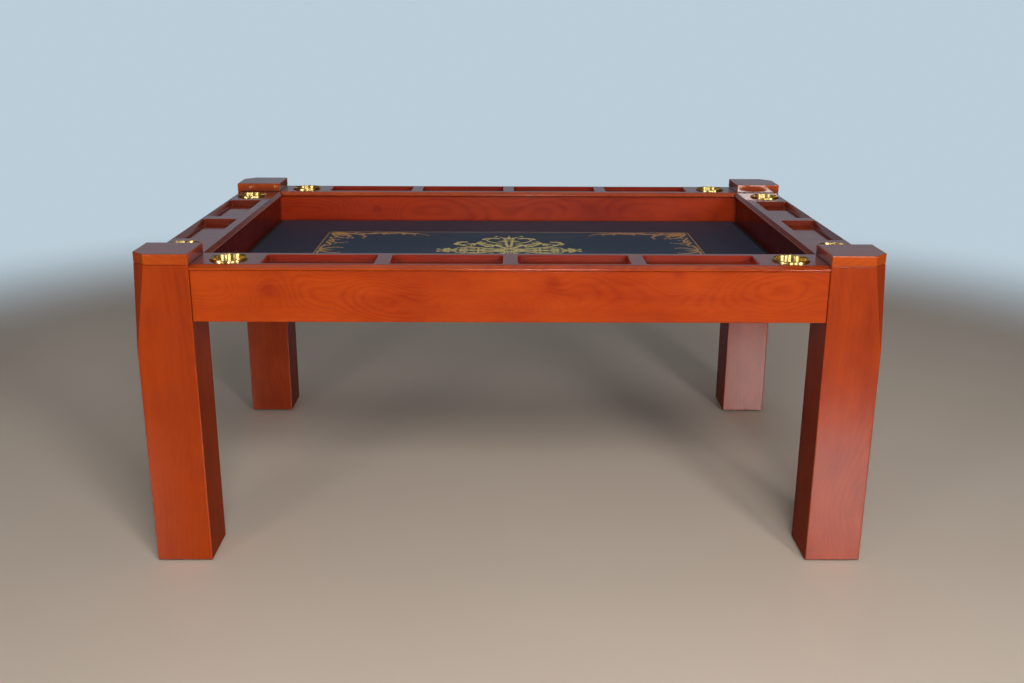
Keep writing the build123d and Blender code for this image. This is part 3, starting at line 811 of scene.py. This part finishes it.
def medallion_strokes():
    """A quarter of the centre medallion, drawn with the mat's middle at (0, 0)."""
    strokes = []
    strokes += scroll((16 * MM, 10 * MM), 0.25, 178 * MM, 0.35, 4.4, 3.8 * MM, 10, 20 * MM)
    strokes += scroll((30 * MM, 0.0), -0.02, 172 * MM, 0.30, -1.1, 3.6 * MM, 10, 15 * MM)
    strokes += scroll((10 * MM, 26 * MM), 1.05, 150 * MM, -0.9, -4.6, 3.4 * MM, 8, 19 * MM)
    strokes += scroll((4 * MM, 40 * MM), 1.42, 165 * MM, 0.35, -5.0, 3.2 * MM, 8, 16 * MM)
    strokes += scroll((44 * MM, 40 * MM), 0.62, 100 * MM, 0.5, 5.2, 3.0 * MM, 7, 16 * MM)
    strokes += scroll((24 * MM, 96 * MM), 0.35, 78 * MM, 0.9, 4.6, 2.6 * MM, 6, 13 * MM)
    strokes += scroll((96 * MM, 22 * MM), 0.70, 66 * MM, -1.0, -4.6, 2.6 * MM, 6, 13 * MM)
    for reach, count in ((0.34, 3), (0.60, 4), (0.84, 5)):
        for n in range(count):
            angle = (n + 0.5) * math.pi / (2 * count)
            along, up = math.cos(angle), math.sin(angle)
            start = (reach * MEDALLION_X * along, reach * MEDALLION_Y * up)
            hand = 1 if n % 2 else -1
            heading, bend, curl = angle + hand * 0.9, hand * 0.9, hand * 5.4
            strokes += scroll(start, heading, 62 * MM, bend, curl, 2.6 * MM, 4, 13 * MM)
    for k in range(5):
        angle = (k + 0.5) * math.pi / 10
        start = (12 * MM * math.cos(angle), 12 * MM * math.sin(angle))
        strokes.append(leaf(start, angle, 27 * MM, 0.0, 5.0 * MM))
    strokes.append(leaf((0.0, 150 * MM), 1.35, 52 * MM, 0.5, 5.0 * MM))
    strokes.append(leaf((2 * MM, 150 * MM), 0.85, 34 * MM, 0.8, 4.0 * MM))
    strokes.append(leaf((150 * MM, 1 * MM), 0.10, 52 * MM, -0.2, 4.4 * MM))
    return strokes


def side_strokes():
    """Half a small spray at the middle of a short side, its stem on the border."""
    strokes = scroll((8 * MM, 4 * MM), 0.9, 74 * MM, -0.5, -5.0, 2.8 * MM, 6, 14 * MM)
    strokes += scroll((8 * MM, 8 * MM), 1.45, 78 * MM, 0.2, -4.6, 2.6 * MM, 6, 13 * MM)
    strokes.append(leaf((8 * MM, 2 * MM), 0.15, 40 * MM, 0.0, 4.0 * MM))
    return strokes


def add_mirrored(inlay, strokes, origin, signs):
    """Draw strokes once for each pair of signs, mirrored about the table's centre lines."""
    for sx, sy in signs:
        for points, widths in strokes:
            placed = [(sx * (origin[0] + x), sy * (origin[1] + y)) for x, y in points]
            inlay.stroke(placed, widths)


def border_points():
    """The border line: a rectangle with rounded corners."""
    points = []
    arc = 6
    for quarter, (sx, sy) in enumerate(((1, 1), (-1, 1), (-1, -1), (1, -1))):
        cx = sx * (BORDER_X - BORDER_CORNER)
        cy = sy * (BORDER_Y - BORDER_CORNER)
        for i in range(arc + 1):
            angle = (quarter + i / arc) * math.pi / 2
            x = cx + BORDER_CORNER * math.cos(angle)
            y = cy + BORDER_CORNER * math.sin(angle)
            points.append((x, y))
    dense = []
    for (x0, y0), (x1, y1) in zip(points, points[1:] + points[:1]):
        parts = max(1, int(math.hypot(x1 - x0, y1 - y0) / CLOTH_CELL))
        for k in range(parts):
            dense.append((x0 + (x1 - x0) * k / parts, y0 + (y1 - y0) * k / parts))
    return dense


def mat_print():
    """The printed border, the sprays at its corners and sides, and the centre medallion."""
    copper = ink("copper_ink", (0.86, 0.50, 0.22), (0.60, 0.32, 0.12))
    gold = ink("gold_ink", (0.98, 0.86, 0.40), (0.80, 0.64, 0.22))
    four = ((1, 1), (-1, 1), (-1, -1), (1, -1))

    line = Inlay()
    border = border_points()
    line.stroke(border, [BORDER_LINE] * len(border), closed=True)
    make_piece("mat_print_border", line.verts, line.faces, copper, MAT_BODY)

    corners = Inlay()
    inward = [([(-x, -y) for x, y in points], widths) for points, widths in corner_strokes()]
    add_mirrored(corners, inward, (BORDER_X, BORDER_Y), four)
    sides = [([(-x, y) for x, y in points], widths) for points, widths in side_strokes()]
    add_mirrored(corners, sides, (BORDER_X, 0.0), four)
    make_piece(
        "mat_print_corners", corners.verts, corners.faces, copper, MAT_BODY,
    )

    centre = Inlay()
    add_mirrored(centre, medallion_strokes(), (0.0, 0.0), four)
    for radius, width in ((8 * MM, 2.4 * MM), (40 * MM, 2.0 * MM)):
        centre.stroke(*ring((0.0, 0.0), radius, width, sides=40))
    make_piece("mat_print_medallion", centre.verts, centre.faces, gold, MAT_BODY)


# ------------------------------------------------------------ edge stitching
STITCH_PITCH = 3.4 * MM
STITCH_REACH = 4.5 * MM
STITCH_R = 0.42 * MM
STITCH_SIDES = 5
STITCH_MARGIN = 7 * MM  # from the mat's corners


def edge_places():
    """Even places round the mat's edge: the point, and the directions inwards and along."""
    base_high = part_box("play_mat_base")[1]
    hx, hy = base_high.x, base_high.y
    places = []
    for start, along, length, inward in (
        ((-hx, -hy), (1, 0), 2 * hx, (0, 1)),
        ((hx, -hy), (0, 1), 2 * hy, (-1, 0)),
        ((hx, hy), (-1, 0), 2 * hx, (0, -1)),
        ((-hx, hy), (0, -1), 2 * hy, (1, 0)),
    ):
        stitched = length - 2 * STITCH_MARGIN
        count = int(stitched / STITCH_PITCH)
        for i in range(count + 1):
            s = STITCH_MARGIN + stitched * i / count
            places.append(((start[0] + along[0] * s, start[1] + along[1] * s), along, inward))
    return places


def stitch_path(point, along, inward, low):
    """One overlock stitch: from the top of the mat, over its edge and down its side."""
    lift = STITCH_R * 0.6
    steps = (  # inwards from the edge, along it as a share of the slant, and the height
        (STITCH_REACH, 0.0, MAT_TOP - 0.35 * MM),
        (STITCH_REACH * 0.9, 0.1, MAT_TOP + lift * 0.2),
        (STITCH_REACH * 0.4, 0.45, MAT_TOP + lift * 0.2),
        (0.35 * MM, 0.8, MAT_TOP - 0.15 * MM),
        (-0.30 * MM, 0.9, MAT_TOP - 0.9 * MM),
        (-0.30 * MM, 1.0, low + 0.3 * MM),
    )
    slant = STITCH_PITCH * 0.9
    path = []
    for a, b, z in steps:
        x = point[0] + inward[0] * a + along[0] * b * slant
        y = point[1] + inward[1] * a + along[1] * b * slant
        path.append(Vector((x, y, z)))
    return path


def tube(verts, faces, path, radius, sides):
    """Add a closed tube along a path."""
    start = len(verts)
    for i, p in enumerate(path):
        ahead = path[min(i + 1, len(path) - 1)] - path[max(i - 1, 0)]
        ahead.normalize()
        side = ahead.cross(Vector((0.31, 0.17, 1.0))).normalized()
        up = side.cross(ahead)
        for k in range(sides):
            angle = 2 * math.pi * k / sides
            verts.append(tuple(p + radius * (math.cos(angle) * side + math.sin(angle) * up)))
    for i in range(len(path) - 1):
        for k in range(sides):
            a = start + i * sides + k
            b = start + i * sides + (k + 1) % sides
            faces.append((a, b, b + sides, a + sides))
    faces.append(tuple(start + k for k in reversed(range(sides))))
    last = start + (len(path) - 1) * sides
    faces.append(tuple(last + k for k in range(sides)))


def mat_stitching():
    """Overlocked stitches all round the mat."""
    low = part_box("play_mat_base")[0].z
    verts, faces = [], []
    for point, along, inward in edge_places():
        tube(verts, faces, stitch_path(point, along, inward, low), STITCH_R, STITCH_SIDES)
    return make_piece(
        "mat_edge_stitching", verts, faces, thread(), MAT_BODY, smooth=True,
    )


# ------------------------------------------------------------- stage and light
FLOOR_REACH = 9.0
FADE_START = 2.4
FADE_END = 4.2
BAND_HEIGHT = 0.1  # of the bright band behind the table, as the sine of its angle up
BAND_FADE = (0.12, 0.19)  # how far above and below that it ends
BACK_FADE = (0.5, 0.9)  # how squarely behind the table it lies
WHITE = (1.0, 1.0, 1.0)
WARM_WHITE = (1.0, 0.98, 0.95)


def floor():
    """A plain pale floor that fades into the surround, and is dark in reflections."""
    r = FLOOR_REACH
    mesh = bpy.data.meshes.new("floor")
    mesh.from_pydata([(-r, -r, 0), (r, -r, 0), (r, r, 0), (-r, r, 0)], [], [(0, 1, 2, 3)])
    g = Graph("pale_floor")
    cloud = g.noise(g.place(), 1.2, 3.0)
    pale = g.mix(cloud, rgb(0.74, 0.62, 0.51), rgb(0.82, 0.71, 0.60))
    mirrored = g.node("ShaderNodeLightPath", "Is Glossy Ray")
    g.shade(
        Base_Color=g.mix(mirrored, pale, rgb(0.06, 0.05, 0.04)),
        Roughness=g.math("SUBTRACT", 0.45, g.math("MULTIPLY", mirrored, 0.25)),
        Specular_IOR_Level=0.4,
    )
    blend = g.tree.nodes.new("ShaderNodeMixShader")
    away = g.vector("LENGTH", g.place(), (0.0, 0.0, 0.0), output=1)
    g.feed(blend.inputs[0], g.ramp(away, FADE_START, FADE_END))
    g.feed(blend.inputs[1], g.shader.outputs[0])
    g.feed(blend.inputs[2], g.node("ShaderNodeBsdfTransparent"))
    g.feed(g.tree.nodes["Material Output"].inputs["Surface"], blend.outputs[0])
    mesh.materials.append(g.material)
    plane = bpy.data.objects.new("floor", mesh)
    bpy.context.scene.collection.objects.link(plane)


def area_light(name, place, aim_height, size, watts, tint=WARM_WHITE):
    """A soft light aimed at a height over the middle of the table."""
    light = bpy.data.lights.new(name, "AREA")
    light.shape = "RECTANGLE"
    light.size, light.size_y = size
    light.energy = watts
    light.color = tint
    lamp = bpy.data.objects.new(name, light)
    bpy.context.scene.collection.objects.link(lamp)
    lamp.location = place
    aim = Vector((0, 0, aim_height)) - Vector(place)
    lamp.rotation_euler = aim.to_track_quat("-Z", "Y").to_euler()
    return lamp


def surround():
    """A pale wall to the camera; dim as a light, with a bright band behind in reflections."""
    world = bpy.data.worlds.new("pale_surround")
    bpy.context.scene.world = world
    world.use_nodes = True
    g = Nodes(world.node_tree)
    _, backward, upward = g.split(g.node("ShaderNodeTexCoord", "Generated"))
    off_band = g.math("ABSOLUTE", g.math("SUBTRACT", upward, BAND_HEIGHT))
    past_band = g.ramp(off_band, *BAND_FADE)
    wall = g.mix(past_band, rgb(0.27, 0.30, 0.35), rgb(0.03, 0.032, 0.035))
    mirrored = g.mix(g.ramp(backward, *BACK_FADE), rgb(0.03, 0.03, 0.035), wall)
    glossy_ray = g.node("ShaderNodeLightPath", "Is Glossy Ray")
    camera_ray = g.node("ShaderNodeLightPath", "Is Camera Ray")
    shown = g.mix(glossy_ray, rgb(0.075, 0.080, 0.085), mirrored)
    shown = g.mix(camera_ray, shown, rgb(0.50, 0.61, 0.69))
    g.feed(g.tree.nodes["Background"].inputs["Color"], shown)


def lights():
    """Soft lights in front, at the sides, above and behind, and strips for reflections only."""
    key = area_light("key", (0.4, -3.5, 2.7), 0.5, (1.5, 0.9), 70.0)
    key.visible_glossy = False
    area_light("side_right", (2.05, -4.4, 1.7), 0.5, (0.7, 1.0), 66.0)
    area_light("side_left", (-2.4, -4.0, 1.7), 0.5, (0.7, 1.0), 20.0)
    area_light("overhead", (0.0, 0.4, 3.2), 0.7, (2.6, 1.6), 5.0, WHITE)
    behind = area_light("behind", (0.0, 3.8, 1.8), 0.6, (2.4, 1.0), 8.0)
    behind.visible_glossy = False
    for name, place, watts in (
        ("strip_left", (-3.2, -2.6, 1.7), 90.0),
        ("strip_middle", (0.2, -4.4, 1.9), 80.0),
        ("strip_right", (3.2, -2.6, 1.7), 90.0),
    ):
        strip = area_light(name, place, 0.7, (0.8, 1.1), watts)
        strip.visible_diffuse = False


# --------------------------------------------------------------------- camera
CAMERA_PLACE = (-0.0161, -3.0125, 1.3054)
CAMERA_DOWN = math.radians(16.917)
CAMERA_TURN = math.radians(0.477)
CAMERA_ROLL = math.radians(0.256)
CAMERA_LENS = 38.16  # mm, on a sensor 36 mm wide
CAMERA_SENSOR = 36.0


def camera():
    """The camera, where the photograph's was."""
    data = bpy.data.cameras.new("camera")
    data.lens = CAMERA_LENS
    data.sensor_width = CAMERA_SENSOR
    view = bpy.data.objects.new("camera", data)
    bpy.context.scene.collection.objects.link(view)
    aim = Euler((math.pi / 2 - CAMERA_DOWN, 0.0, -CAMERA_TURN)).to_matrix()
    aim = aim @ Matrix.Rotation(CAMERA_ROLL, 3, "Z")
    view.matrix_world = Matrix.Translation(CAMERA_PLACE) @ aim.to_4x4()
    bpy.context.scene.camera = view


# ----------------------------------------------------------------- whole scene
camera()
surround()
lights()
floor()
paint_rails()
paint_posts()
paint_inside()
cloth = mat_cloth()
mat_print()
stitching = mat_stitching()
bpy.context.scene.view_settings.view_transform = "Standard"
